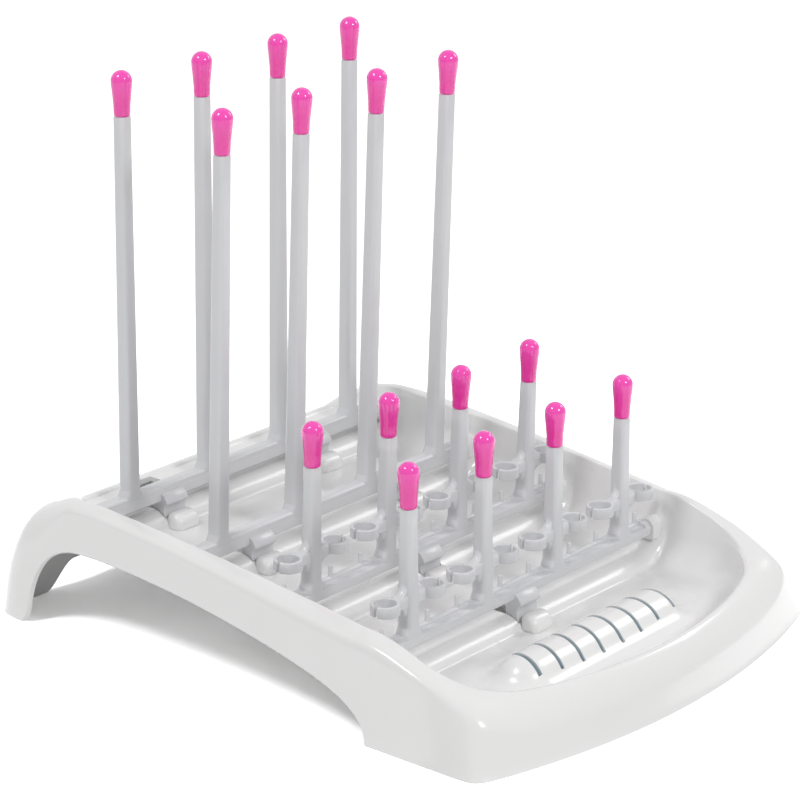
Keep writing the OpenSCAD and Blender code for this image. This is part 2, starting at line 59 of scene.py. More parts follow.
# Frame sizes in millimetres
ROWS = ("rear_tall", "front_tall", "rear_short", "front_short")
BAR_Y = (129.5, 63.2, -3.1, -69.4)
BAR_Z = (61.2, 51.8, 41.1, 33.7)
ROW_LEAN = (1.3, 2.7, 1.9, 0.5)
PANEL_DROP = 19.2
PANEL_Z = tuple(z - PANEL_DROP for z in BAR_Z)
PEG_X = (-90.0, -30.0, 30.0, 90.0)
TALL_FOOT_X = (-62.0, 58.0)
FOOT_DROP, FOOT_LONG, FOOT_WIDE, FOOT_OUT = 20.0, 12.5, 16.8, 3.0
FOOT_ROOM, STOP_GAP, HEEL_R = 0.6, 0.3, 6.0
BAR_ROOM, BAR_END_ROOM, SLOT_PAST = 0.5, 0.1, 5.2
PEG_FLARE, FLARE_HIGH = 1.6, 3.52
SPIGOT_R, SPIGOT_HIGH = 2.6, 13.0
TIP_BORE_R, TIP_BORE_HIGH = 2.65, 13.3
HINGE_PIN_R, HINGE_PIN_L, HINGE_FIT, BARREL_R = 3.0, 6.0, 0.05, 4.85
BOSS_R, BOSS_X, BORE_END_X = 6.0, 115.0, 120.8
# Short bars: the flange, the rib on it and the clip rings beside a peg
FLANGE_TOP, RIB_TOP, RIB_R, FLANGE_LIFT = 2.5, 4.8, 1.8, 2.0
RING_OUT, RING_LOW, RING_HIGH = 18.0, 20.5, 26.5
CONE_LOW, FIN_HIGH, WEB_PEG_SIDE = 14.0, 10.0, 3.6
# Half thickness of a web: at the cone's foot, beside the ring, and of the fin
CONE_THIN, WEB_THICK, FIN_THICK = 2.0, 3.3, 2.7
# A small upright pin from its foot to its round top: (radius, height)
NIB = ((1.45, 3.0), (1.45, 5.0), (1.3, 5.8), (1.3, 10.0), (1.12, 10.6), (0.65, 10.95),
       (0.2, 11.02))
NIB_BACK = 2.6

# Plan of the tray
FRONT_Y, REAR_Y = -183.5, 183.5
RIDGE_Y = FRONT_Y + 66.5
RIDGE_FOOT, RIDGE_CREST_R = 25.0, 16.5
SLIT_COUNT, SLIT_PITCH, SLIT_FAN_R = 8, 16.1, 410
# How far a slit reaches to the rear and to the front, and how much less at the ends
SLIT_REAR, SLIT_FRONT, SLIT_LESS = 7.0, 16.5, 3.5
FRONT_BOW_R, RIM_BOW_R = 422.0, 265.0
RIM_CORNER_R, REAR_CORNER_R = 46.0, 26.0
RIM_FRONT_Y = FRONT_Y + 16.3
RIM_REAR_Y = REAR_Y - 32.0
FRONT_SHARP, REAR_SHARP = 20, 8
# Heights of the rim
RIM_TOP, RIM_MID, RIM_FRONT, DECK = 73.0, 54.0, 30.4, 61.7
RIM_LEVEL_Y, FALL_Y, FALL_END = 110.0, -72.0, 7.0
SIDE_BULGE = 1.5
DECK_TURN = 0.15
DECK_SINK = 1.1
# Arches
ARCH_Z, ARCH_CROWN_Y, ARCH_TOE_Y, LEG_Y = 48.0, 110.0, -87.0, 157.8
ARCH_FALL, ARCH_POWER, TOE_SHARP = 0.00303, 1.75, 16
LEG_SHARP, LEG_POWER, LEG_ROUND = 2.6, 0.32, 6.5
REAR_ARCH_HALF, REAR_ARCH_Z, REAR_ARCH_SIDE = 108.0, 16.4, 18.0
# Shoulder of the skirt: how far out and down, its fullness at the side, rear and front
SHOULDER_OUT = (0.58, 0.97, 0.7)
SHOULDER_DOWN = (3.8, 0.9 * DECK, 0.5 * RIM_FRONT)
SHOULDER_POWER = (2.6, 2.4, 1.6)
SHOULDER_EASE = 2.2
REAR_TURN = 0.67
# Flat top of the side skirts: its share, where it starts and how it fades, rear and front
FLAT_SHARE = 0.8
FLAT_REAR_Y, FLAT_REAR_FADE = 80.0, 130.0
FLAT_FRONT_Y, FLAT_FRONT_FADE = -125.0, 60.0
# Its edge: start as shares of out and down, end as a share of the slope and a drop
FLAT_START, FLAT_END = (0.5, 0.34), (0.11, 5.0)
LIP, LIP_DROP = 0.8, 1.1
LOWER_EDGE_IN, LOWER_EDGE_UP = 0.6, 0.7
WALL_DRAFT = 2.2
COVE_FADE_Y, COVE_FADE = 95.0, 28.0
# Steps of the tray's outlines, and stations added where an arch's edge turns sharply
FRONT_STEPS, CORNER_STEPS, SKIRT_STEPS, COVE_STEPS, EDGE_STEPS = 20, 36, 24, 9, 4
SIDE_GAP, TURN_GAP, REAR_GAP = 4.5, 2.0, 9.0
TOE_MARKS = (0, 0.4, 1.2, 2.4, 4, 6.5, 9)
LEG_MARKS = (-3, -2.2, -1.5, -1, -0.6, -0.3, 0, 0.3, 0.7, 1.3, 2.1, 3.1, 4.2, 5.2)
REAR_ARCH_MARKS = (9.5, 11.5, 13.5, 15.5, REAR_ARCH_SIDE)
# Noses under the bars
NOSE_BACK, NOSE_LONG, NOSE_FOOT = 2.5, 12.0, 2.2
FLOOR_EDGE = 2.5
POCKET_BACK = 138.0
POCKET_Z = BAR_Z[0] - PANEL_DROP / 2
BASIN_Y = -81.5
# Widest seam that is closed
SEAM = 0.002
# Materials, in metres: where the panels' grain starts and is full, across, front and rear
GRAIN_WIDE, GRAIN_FRONT, GRAIN_REAR = (0.110, 0.086), (-0.142, -0.120), (0.134, 0.128)
# Depth below the ridge's crest and squared distance from its middle where painted shade darkens a
# slit
SLIT_SHADE_DEPTH, SLIT_SHADE_SPAN = (0.0003, 0.0016), (0.000225, 0.00020)
PLASTIC_IOR, SILICONE_IOR = 1.49, 1.41
# Lamps, in metres: (place, point lit, size)
KEY_LAMP = ((-0.15, -1.55, 1.25), (0, 0, 0.05), 0.35)
FILL_LAMP = ((-1.0, 0.35, 1.5), (0, -0.05, 0.05), 0.35)
SIDE_LAMP = ((1.15, -0.42, 0.95), (0, 0, 0.03), 0.45)
# Floor and backdrop, in millimetres
FLOOR_HALF, FLOOR_BACK, BACKDROP_R, BACKDROP_TOP = 3000.0, 1500.0, 900.0, 2600.0
# Camera: place in metres, then degrees round, down and over, then lens and sensor
CAMERA_AT = (-1.1432, -0.9628, 0.6297)
CAMERA_TURN = (-49.55, 18.68, -0.38)
CAMERA_LENS, CAMERA_SENSOR, CAMERA_FAR = 132.705, 36.0, 20.0


# ---- properties


def length(name, text, value, low, high):
    """A length in metres that the sidebar shows in the scene's unit."""
    return FloatProperty(name=name, description=text, default=value, min=low, max=high,
                         unit="LENGTH", precision=4)


def amount(name, text, value, low=0.0, high=1.0):
    """A plain number between two limits."""
    return FloatProperty(name=name, description=text, default=value, min=low, max=high)


def power(name, value):
    """A lamp's power in watts."""
    return FloatProperty(name=f"{name} light", description=f"Power of the {name.lower()} light",
                         default=value, min=0.0, max=200.0, subtype="POWER")


def colour(name, text, value):
    """A colour in scene-linear values."""
    return FloatVectorProperty(name=name, description=text, default=value, min=0.0, max=1.0,
                               size=3, subtype="COLOR")


class TrayProps(bpy.types.PropertyGroup):
    """Sizes of the moulded tray"""
    width: length("Width", "Width across the lower edge of the side skirts", 0.2906, 0.27, 0.32)
    rim_width: length("Rim width", "Width between the inner edges of the rims", 0.251, 0.24, 0.26)
    wall: length("Wall", "Thickness of the moulded walls and floor", 0.0026, 0.002, 0.0032)
    cove: length("Cove", "Radius between the side walls and the floor", 0.02, 0.012, 0.022)
    rear_cove: length("Rear cove", "Radius of that cove at the rear corners", 0.009, 0.004, 0.012)
    rim_edge: length("Rim edge", "Rounding of the rim's inner edge", 0.0012, 0.0005, 0.002)
    ridge_high: length("Ridge", "Height of the ridge in the front basin", 0.0131, 0.01, 0.014)
    ridge_half: length("Ridge half length", "Half length of the ridge", 0.079, 0.07, 0.084)
    slit_wide: length("Slit", "Width of the slits across the ridge", 0.0026, 0.0015, 0.003)
    slit_deep: length("Slit depth", "Depth of the slits across the ridge", 0.0042, 0.0015, 0.0045)
    stop_high: length("Stop", "Height of the stop bumps", 0.009, 0.007, 0.01)
    stop_long: length("Stop length", "Length of the stop bumps", 0.011, 0.009, 0.013)


class BarProps(bpy.types.PropertyGroup):
    """Sizes of the bars, pegs and clip rings"""
    long: length("Length", "Length of a bar between its end pins", 0.229, 0.226, 0.232)
    depth: length("Depth", "Depth of a bar", 0.0088, 0.008, 0.01)
    height: length("Height", "Height of a bar", 0.0094, 0.0085, 0.0105)
    edge: length("Edge", "Rounding of the moulded edges", 0.0005, 0.0002, 0.001)
    peg_base: length("Peg base", "Width of a peg at the bar", 0.0092, 0.0084, 0.01)
    peg_top: length("Peg top", "Width of a peg below its tip", 0.0076, 0.007, 0.008)
    peg_round: length("Peg rounding", "Radius of the pegs' corners", 0.0024, 0.0015, 0.003)
    tall_peg: length("Tall peg", "Height of a tall peg with its tip", 0.2412, 0.23, 0.26)
    short_peg: length("Short peg", "Height of a short peg with its tip", 0.0967, 0.09, 0.105)
    ring_bore: length("Ring bore", "Bore radius of a clip ring", 0.0058, 0.0054, 0.0064)
    ring_wall: length("Ring wall", "Wall of a clip ring", 0.0019, 0.0014, 0.0022)
    ring_gap: length("Ring gap", "Gap in a clip ring", 0.002, 0.0015, 0.003)


class TipProps(bpy.types.PropertyGroup):
    """Sizes of the soft tips"""
    long: length("Length", "Length of a soft tip", 0.0243, 0.022, 0.027)
    base: length("Base radius", "Radius at the lower end", 0.0044, 0.0042, 0.0046)
    widest: length("Widest radius", "Radius at the widest", 0.0057, 0.0052, 0.0062)


class FinishProps(bpy.types.PropertyGroup):
    """Colours and gloss"""
    tray: colour("Tray", "Colour of the glossy tray", (0.85, 0.85, 0.845))
    # Painted shade: the blue-grey that the deep parts of the ridge's slits take in place of their
    # shadow
    slit_shade: colour("Slits", "Colour deep in the slits of the ridge", (0.43, 0.53, 0.58))
    tray_rough: amount("Tray roughness", "Roughness of the tray's gloss", 0.20)
    bar: colour("Bars", "Colour of the satin bars and pegs", (0.70, 0.707, 0.725))
    bar_rough: amount("Bar roughness", "Roughness of the bars' satin", 0.24)
    tip: colour("Tips", "Colour of the soft tips over the peg's spigot", (0.94, 0.022, 0.39))
    tip_top: colour("Tip top", "Paler colour of a tip's clear bulb", (1.0, 0.06, 0.50))
    tip_rough: amount("Tip roughness", "Roughness of the tips", 0.16)


class StageProps(bpy.types.PropertyGroup):
    """Floor, surroundings and lamps"""
    floor: colour("Floor", "Colour of the floor and backdrop", (0.82, 0.82, 0.82))
    white: amount("Floor white", "How brightly the camera sees the floor", 2.2, 0.5, 4.0)
    sky: amount("Surroundings", "Brightness of the white surroundings", 0.38, 0.0, 2.0)
    key: power("Key", 11.2)
    fill: power("Fill", 9.5)
    side: power("Side", 3.0)


# ---- modelling help


def clear_selection():
    """Leaves edit mode and deselects everything."""
    if bpy.context.object and bpy.context.object.mode != "OBJECT":
        bpy.ops.object.mode_set(mode="OBJECT")
    bpy.ops.object.select_all(action="DESELECT")


def pick(obj):
    """Makes obj the one selected and active object."""
    clear_selection()
    obj.select_set(True)
    bpy.context.view_layer.objects.active = obj


def edit(obj):
    """Opens obj in edit mode with its whole mesh selected."""
    pick(obj)
    bpy.ops.object.mode_set(mode="EDIT")
    bpy.ops.mesh.select_all(action="SELECT")


def close(obj):
    """Leaves edit mode."""
    bpy.ops.object.mode_set(mode="OBJECT")
    return obj


def weld():
    """Closes the seams of what is selected in edit mode."""
    bpy.ops.mesh.remove_doubles(threshold=SEAM * MM)


def face_out():
    """Turns all faces outwards in edit mode."""
    bpy.ops.mesh.select_all(action="SELECT")
    bpy.ops.mesh.normals_make_consistent(inside=False)


def put_points(obj, points):
    """Moves obj's vertices to points given in millimetres."""
    flat = [c * MM for p in points for c in p]
    obj.data.vertices.foreach_set("co", flat)
    obj.data.update()


def tidy_shell(obj):
    """Closes seams and poles and turns all faces outwards."""
    edit(obj)
    weld()
    bpy.ops.mesh.dissolve_degenerate(threshold=SEAM * MM / 2)
    face_out()
    return close(obj)


def loft(name, rows):
    """A skin through rows of points."""
    clear_selection()
    bpy.ops.mesh.primitive_grid_add(x_subdivisions=len(rows[0]) - 1,
                                    y_subdivisions=len(rows) - 1, size=1)
    obj = bpy.context.object
    obj.name = name
    wide = len(rows[0])
    order = sorted(range(len(obj.data.vertices)), key=lambda k: (
        round(obj.data.vertices[k].co.y, 5), round(obj.data.vertices[k].co.x, 5)))
    points = [None] * len(order)
    for n, k in enumerate(order):
        points[k] = rows[n // wide][n % wide]
    put_points(obj, points)
    return obj


def cap_ends(obj):
    """Fills each open edge loop with one face."""
    edit(obj)
    weld()
    bpy.ops.mesh.select_all(action="DESELECT")
    bpy.ops.mesh.select_mode(type="EDGE")
    bpy.ops.mesh.select_non_manifold()
    bpy.ops.mesh.edge_face_add()
    return close(obj)


def prism(name, outline, push, place):
    """A face through outline, placed by place(x, y), pushed along the vector push."""
    clear_selection()
    bpy.ops.mesh.primitive_circle_add(vertices=len(outline), radius=1, fill_type="NGON")
    obj = bpy.context.object
    obj.name = name
    put_points(obj, [place(*p) for p in outline])
    edit(obj)
    bpy.ops.mesh.extrude_region_move(
        TRANSFORM_OT_translate={"value": tuple(c * MM for c in push)})
    face_out()
    return close(obj)


def apply_modifier(obj, kind, **settings):
    """Adds a modifier, gives it its settings and applies it."""
    pick(obj)
    mod = obj.modifiers.new(kind.title(), kind)
    for key, value in settings.items():
        setattr(mod, key, value)
    bpy.ops.object.modifier_apply(modifier=mod.name)
    return obj


def round_edges(obj, width, segments=2, angle=40):
    """Bevels the edges that turn more than angle degrees."""
    return apply_modifier(obj, "BEVEL", width=width * MM, segments=segments,
                          limit_method="ANGLE", angle_limit=math.radians(angle))


def combine(obj, tool, operation):
    """Joins tool to obj or cuts it away, and removes it."""
    apply_modifier(obj, "BOOLEAN", object=tool, operation=operation, solver="MANIFOLD")
    bpy.data.objects.remove(tool)
    return obj


def join_all(obj, tools):
    """Joins each tool to obj."""
    for tool in tools:
        combine(obj, tool, "UNION")
    return obj


def cut_all(obj, tools):
    """Cuts each tool out of obj."""
    for tool in tools:
        combine(obj, tool, "DIFFERENCE")
    return obj


def finish_piece(obj, body, slot, material, *nodes, angle=32):
    """Shades a finished piece, gives it its material and puts it on its body."""
    pick(obj)
    bpy.ops.object.shade_smooth_by_angle(angle=math.radians(angle))
    obj.data.materials.clear()
    obj.data.materials.append(material)
    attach(obj, body)
    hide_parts(*nodes)
    return obj


def smooth(f):
    """Eases 0 to 1."""
    f = min(max(f, 0.0), 1.0)
    return f * f * (3 - 2 * f)


def smoother(f):
    """Eases 0 to 1 with no change of curvature at the ends."""
    f = min(max(f, 0.0), 1.0)
    return f ** 3 * (f * (6 * f - 15) + 10)


def mix(a, b, f):
    """The value f of the way from a to b."""
    return a + (b - a) * f


def spread(low, high, gap):
    """Values from low to high, no further apart than gap."""
    n = max(1, math.ceil(abs(high - low) / gap))
    return [low + (high - low) * k / n for k in range(n + 1)]


def arc(cx, cy, r, start, end, n):
    """Points of an arc, angles in degrees."""
    return [(cx + r * math.cos(math.radians(mix(start, end, k / n))),
             cy + r * math.sin(math.radians(mix(start, end, k / n)))) for k in range(n + 1)]


def bend(a, b, c, n):
    """A rounded corner from a to c about b."""
    out = []
    for k in range(n + 1):
        t = k / n
        out.append(tuple((1 - t) ** 2 * p + 2 * t * (1 - t) * q + t * t * r
                         for p, q, r in zip(a, b, c)))
    return out


# ---- the tray


def soft_min(a, b, k):
    """The lesser of a and b, rounded where they meet; a higher k is sharper."""
    return (a ** -k + b ** -k) ** (-1 / k)


def unit(turn):
    """A direction in the plan, in degrees from +X."""
    return Vector((math.cos(math.radians(turn)), math.sin(math.radians(turn))))


class TrayForm:
    """The tray's rim line, foot line, heights and cross-section."""

    def __init__(self, sizes):
        self.half = sizes.width / MM / 2
        self.rim_half = sizes.rim_width / MM / 2
        self.wall = sizes.wall / MM
        self.cove = sizes.cove / MM
        self.rear_cove = sizes.rear_cove / MM
        self.rim_edge = sizes.rim_edge / MM
        self.front_x = self.rim_half - RIM_CORNER_R
        self.front_y = RIM_FRONT_Y + RIM_BOW_R - math.sqrt(
            (RIM_BOW_R - RIM_CORNER_R) ** 2 - self.front_x ** 2)
        self.rear_x = self.rim_half - REAR_CORNER_R
        self.rear_y = RIM_REAR_Y - REAR_CORNER_R
        self.front_turn = 90 - math.degrees(math.asin(self.front_x
                                                      / (RIM_BOW_R - RIM_CORNER_R)))
        self.floor = self.floor_line()

    def floor_line(self):
        """Floor heights from the rear deck forward: flat panels and a nose under each bar."""
        line = [(REAR_Y, DECK - DECK_SINK), (POCKET_BACK, DECK - DECK_SINK),
                (POCKET_BACK - 0.001, POCKET_Z)]
        for n, y in enumerate(BAR_Y):
            top = POCKET_Z if n == 0 else PANEL_Z[n - 1]
            drop = top - PANEL_Z[n]
            start = y + NOSE_BACK
            nose = [(start - NOSE_LONG * math.sin(math.radians(a)),
                     top - drop * (1 - math.cos(math.radians(a)))) for a in range(0, 76, 5)]
            foot = start - NOSE_LONG
            line += nose + bend(nose[-1], (foot, PANEL_Z[n]), (foot - NOSE_FOOT, PANEL_Z[n]),
                                5)[1:]
        return line + [(FRONT_Y, PANEL_Z[3])]

    def floor_z(self, y):
        """Height of the floor's top at a depth."""
        for (y0, z0), (y1, z1) in zip(self.floor, self.floor[1:]):
            if y0 >= y >= y1:
                return mix(z0, z1, (y0 - y) / (y0 - y1))
        return PANEL_Z[3]

    def front_corner(self, turn):
        """Rim point, foot point, rear share and front share of a corner station."""
        d = unit(-turn)
        bow = FRONT_Y + FRONT_BOW_R - self.front_y
        b = self.front_x * d.x + bow * d.y * -1
        c = self.front_x ** 2 + bow ** 2 - FRONT_BOW_R ** 2
        reach = soft_min((self.half - self.front_x) / max(d.x, 0.001),
                         -b + math.sqrt(b * b - c), FRONT_SHARP)
        centre = Vector((self.front_x, self.front_y))
        return (centre + RIM_CORNER_R * d, centre + reach * d, 0,
                smoother(turn / self.front_turn))

    def rear_corner(self, turn):
        """The same at the rear corner, turned from +X towards +Y."""
        d = unit(turn)
        reach = soft_min((self.half - self.rear_x) / max(d.x, 0.001),
                         (REAR_Y - self.rear_y) / max(d.y, 0.001), REAR_SHARP)
        centre = Vector((self.rear_x, self.rear_y))
        return centre + REAR_CORNER_R * d, centre + reach * d, turn / 90, 0

    def stations(self):
        """Half of the outline, from the front's middle round to the rear's middle."""
        turn = self.front_turn
        end = self.front_corner(turn)
        rim_turn = math.asin(end[0].x / RIM_BOW_R)
        foot_turn = math.asin(end[1].x / FRONT_BOW_R)
        out = []
        for k in range(FRONT_STEPS):
            a, b = rim_turn * k / FRONT_STEPS, foot_turn * k / FRONT_STEPS
            out.append((Vector((RIM_BOW_R * math.sin(a),
                                RIM_FRONT_Y + RIM_BOW_R * (1 - math.cos(a)))),
                        Vector((FRONT_BOW_R * math.sin(b),
                                FRONT_Y + FRONT_BOW_R * (1 - math.cos(b)))), 0, 1))
        out += [self.front_corner(turn * (1 - k / CORNER_STEPS))
                for k in range(CORNER_STEPS + 1)]
        ys = {round(y, 4) for y, _ in self.floor if self.front_y + 1 < y < self.rear_y - 0.4}
        ys |= {ARCH_TOE_Y + d for d in TOE_MARKS}
        marks = [self.front_y] + sorted(ys) + [self.rear_y]
        side = []
        for low, high in zip(marks, marks[1:]):
            side += spread(low, high, SIDE_GAP)[1:]
        for y in side[:-1]:
            out.append((Vector((self.rim_half, y)), Vector((self.half, y)), 0, 0))
        leg = math.degrees(math.atan((LEG_Y - self.rear_y) / (self.half - self.rear_x)))
        turns = set(spread(0, 90, TURN_GAP)) | {leg + d for d in LEG_MARKS}
        out += [self.rear_corner(t) for t in sorted(turns)]
        xs = [REAR_ARCH_HALF - d for d in REAR_ARCH_MARKS]
        xs = [x for x in xs if x < self.rear_x - 0.5] + spread(xs[-1], 0, REAR_GAP)[1:]
        out += [(Vector((x, RIM_REAR_Y)), Vector((x, REAR_Y)), 1, 0) for x in xs]
        return out

    def rim_z(self, s):
        """Height of the rim's inner edge at a station."""
        y = s[0].y
        f = min(max((RIM_LEVEL_Y - y) / (RIM_LEVEL_Y - FALL_Y), 0), 1)
        side = mix(RIM_TOP, RIM_MID, f) + SIDE_BULGE * 4 * f * (1 - f)
        fall = smooth((FALL_Y - y) / (FALL_Y - RIM_FRONT_Y - FALL_END))
        return (side + (RIM_FRONT - RIM_MID) * fall
                + (DECK - RIM_TOP) * smooth((s[2] - DECK_TURN) / (1 - DECK_TURN)))

    def foot_z(self, s):
        """Height of the skirt's lower edge at a station, with the side and rear arches."""
        x, y = s[1]
        if y < ARCH_TOE_Y:
            return 0.0
        if y < LEG_Y + LEG_ROUND:
            if y > ARCH_CROWN_Y:
                f = (y - ARCH_CROWN_Y) / (LEG_Y - ARCH_CROWN_Y)
                d = min(LEG_ROUND, LEG_Y + LEG_ROUND - y)
                corner = LEG_ROUND - math.sqrt(LEG_ROUND ** 2 - d ** 2)
                return max(ARCH_Z * max(1 - f ** LEG_SHARP, 0) ** LEG_POWER, corner)
            d = ARCH_CROWN_Y - y
            toe = max(1 - (d / (ARCH_CROWN_Y - ARCH_TOE_Y)) ** TOE_SHARP, 0) ** 0.5
            return (ARCH_Z - ARCH_FALL * d ** ARCH_POWER) * toe
        if abs(x) < REAR_ARCH_HALF:
            return REAR_ARCH_Z * smooth((REAR_ARCH_HALF - abs(x)) / REAR_ARCH_SIDE)
        return 0.0

    def by_place(self, values, s):
        """Blends the values for the side, rear and front at a station."""
        return (values[0] + (values[1] - values[0]) * smooth(s[2] / REAR_TURN)
                + (values[2] - values[0]) * s[3])

    def skirt(self, s, top, reach, n):
        """From the rim's inner edge (0, 0) over the shoulder and down: (out, drop)."""
        total = top - self.foot_z(s)
        out, down = reach * self.by_place(SHOULDER_OUT, s), self.by_place(SHOULDER_DOWN, s)
        power = self.by_place(SHOULDER_POWER, s)
        slope = (reach - out) / (top - down)
        out -= slope * down
        # The sides have a flat top with a crisper edge
        crisp = (FLAT_SHARE * smooth((FLAT_REAR_Y - s[0].y) / FLAT_REAR_FADE)
                 * smooth((s[0].y - FLAT_FRONT_Y) / FLAT_FRONT_FADE))
        side_out, side_down = reach * SHOULDER_OUT[0], SHOULDER_DOWN[0]
        half = n // 2
        edge = [(0, 0)] + bend(
            (side_out * FLAT_START[0], side_down * FLAT_START[1]), (side_out, side_down),
            (mix(side_out, reach, FLAT_END[0]), side_down + FLAT_END[1]), half - 1)
        low = (side_out + (reach - side_out) * (total - side_down) / (top - side_down), total)
        line = []
        for k in range(n + 1):
            d = total * (k / n) ** SHOULDER_EASE
            near = max(1 - d / down, 0) ** power
            q = out * (1 - near) ** (1 / power) + slope * d
            if k <= half:
                sharp = edge[k]
            else:
                f = (k - half) / (n - half)
                sharp = (mix(edge[-1][0], low[0], f), mix(edge[-1][1], low[1], f))
            line.append((mix(q, sharp[0], crisp), mix(d, sharp[1], crisp)))
        return line

    def cove_line(self, s, z):
        """Inner wall's outline from the cove's start in to the floor."""
        rim = self.rim_z(s)
        q = -LIP - WALL_DRAFT * (rim - z) / RIM_MID
        r = mix(self.cove, self.rear_cove,
                smooth((s[0].y - COVE_FADE_Y) / COVE_FADE) if s[2] == 0 else 1)
        r = min(r, rim - LIP - z)
        line = [(q - r * (1 - math.cos(a)), z + r * (1 - math.sin(a)))
                for a in [math.radians(90 * k / COVE_STEPS) for k in range(COVE_STEPS + 1)]]
        return line + [(line[-1][0] - FLOOR_EDGE, z)]

    def section(self, s, z):
        """Upper and lower outline of the moulding at a station: (out, height)."""
        rim = self.rim_z(s)
        reach = (s[1] - s[0]).length
        outer = [Vector((q, rim - d)) for q, d in self.skirt(s, rim, reach, SKIRT_STEPS)]
        cove = self.cove_line(s, z)
        corner, start = Vector((0, rim)), Vector(cove[0])
        along = outer[1] - corner if outer[1].x > 0.3 else outer[2] - corner
        first = corner + along.normalized() * self.rim_edge
        down = start - corner
        second = corner + down.normalized() * min(self.rim_edge, down.length * 0.5)
        edge = bend(tuple(first), tuple(corner), tuple(second), EDGE_STEPS)
        outer = [p for p in outer[1:] if p.x > first.x + 0.05]
        while len(outer) < SKIRT_STEPS:
            outer.insert(0, Vector(edge[0]))
        foot = outer[-1]
        outer = outer[:-1] + [foot + Vector((0, LOWER_EDGE_UP)),
                              foot - Vector((LOWER_EDGE_IN, 0))]
        wall = [tuple(second.lerp(start, k / EDGE_STEPS)) for k in range(1, EDGE_STEPS)]
        upper = [tuple(p) for p in outer[::-1]] + edge + wall + cove
        back = self.wall - LIP
        inner = (reach - self.wall - back) / reach
        top = rim - self.wall
        hollow = [(back + inner * q, top - d)
                  for q, d in self.skirt(s, top, reach, SKIRT_STEPS // 2)]
        low = [(q + LIP, h - self.wall) for q, h in cove]
        lower = low[::-1] + [(low[0][0] + self.wall - LIP, low[0][1])] + hollow
        return upper, lower

    def floor_at(self, s):
        """Floor height at a station; in the rear corners it follows the cove's own end."""
        if s[2] == 0:
            return self.floor_z(max(s[0].y, RIM_FRONT_Y))
        d = (s[1] - s[0]).normalized()
        deck = DECK - DECK_SINK
        guess = self.cove_line(s, deck)[-2][0]
        y = (s[0] + d * guess).y
        return min(self.floor_z(y), self.rim_z(s) - LIP_DROP)

    def rings(self):
        """Closed outlines right across the tray, front to rear, with the floor between."""
        out = []
        last = None
        for s in self.stations():
            z = self.floor_at(s)
            levels = [z]
            if last is not None and s[2] > 0 and last < POCKET_Z + 0.1 and z > DECK - 2:
                levels = [last, z]
            last = z
            for level in levels:
                upper, lower = self.section(s, level)
                right = [place_at(s, q) for q in upper]
                under = [place_at(s, q) for q in lower]
                left = [(-x, y, h) for x, y, h in right]
                left_under = [(-x, y, h) for x, y, h in under]
                out.append(left + right[::-1] + under[::-1] + left_under + left[:1])
        return out, len(upper)


def place_at(s, q):
    """The point (out, height) at a station, as (x, y, z)."""
    d = (s[1] - s[0]).normalized()
    p = s[0] + d * q[0]
    return (p.x, p.y, q[1])


# ---- materials


class Wire:
    """A shader socket; arithmetic on it adds Math nodes."""

    def __init__(self, tree, socket=None):
        self.tree = tree
        self.socket = socket

    def node(self, kind, settings=None, inputs=None, out=0):
        """Adds a node of any kind and gives back a wire from its output."""
        node = self.tree.nodes.new(kind)
        for key, value in (settings or {}).items():
            setattr(node, key, value)
        for key, value in (inputs or {}).items():
            if isinstance(value, Wire):
                self.tree.links.new(value.socket, node.inputs[key])
            else:
                node.inputs[key].default_value = value
        return Wire(self.tree, node.outputs[out] if node.outputs else None)

    def maths(self, operation, *others):
        """Adds a Math node with this wire as its first value."""
        return self.node("ShaderNodeMath", {"operation": operation},
                         dict(enumerate((self,) + others)))

    def __add__(self, other):
        return self.maths("ADD", other)

    def __mul__(self, other):
        return self.maths("MULTIPLY", other)

    def __rsub__(self, other):
        return self.node("ShaderNodeMath", {"operation": "SUBTRACT"}, {0: other, 1: self})

    __radd__ = __add__
    __rmul__ = __mul__

    def step(self, low, high):
        """Eases from 0 at low to 1 at high."""
        return self.node("ShaderNodeMapRange", {"interpolation_type": "SMOOTHSTEP"},
                         {0: self, 1: low, 2: high, 3: 0.0, 4: 1.0})

    def tint(self, a, b):
        """A colour from a to b by this wire."""
        return self.node("ShaderNodeMix", {"data_type": "RGBA"}, {0: self, 6: a, 7: b}, out=2)

    def place(self):
        """Object coordinates of the piece itself."""
        return self.node("ShaderNodeTexCoord", out="Object")

    def noise(self, scale, detail):
        """Noise whose features are 1/scale of a metre."""
        return self.node("ShaderNodeTexNoise", None, {"Vector": self.place(), "Scale": scale,
                                                      "Detail": detail})

    def grain(self, scale, strength):
        """A fine bump, as a normal."""
        return self.node("ShaderNodeBump", None, {
            "Strength": strength, "Distance": 0.0002, "Height": self.noise(scale, 2.0)})

    def seen(self):
        """1 for what the camera sees, also by gloss or glass, and 0 for other rays."""
        rays = [self.node("ShaderNodeLightPath", out=f"Is {name} Ray")
                for name in ("Camera", "Glossy", "Transmission")]
        return rays[0].maths("MAXIMUM", rays[1]).maths("MAXIMUM", rays[2])


def blank(owner):
    """Clears the nodes of a material or world and gives back a wire to build them with."""
    owner.use_nodes = True
    owner.node_tree.nodes.clear()
    return Wire(owner.node_tree)


def paint(name, build):
    """A material whose Principled BSDF takes the inputs that build(wire) returns."""
    material = bpy.data.materials.new(name)
    wire = blank(material)
    shader = wire.node("ShaderNodeBsdfPrincipled", None, build(wire))
    wire.node("ShaderNodeOutputMaterial", None, {"Surface": shader})
    return material


def rgba(value, gain=1.0):
    """A colour with its alpha, brightened by gain."""
    return tuple(min(c * gain, 1.0) for c in value) + (1.0,)


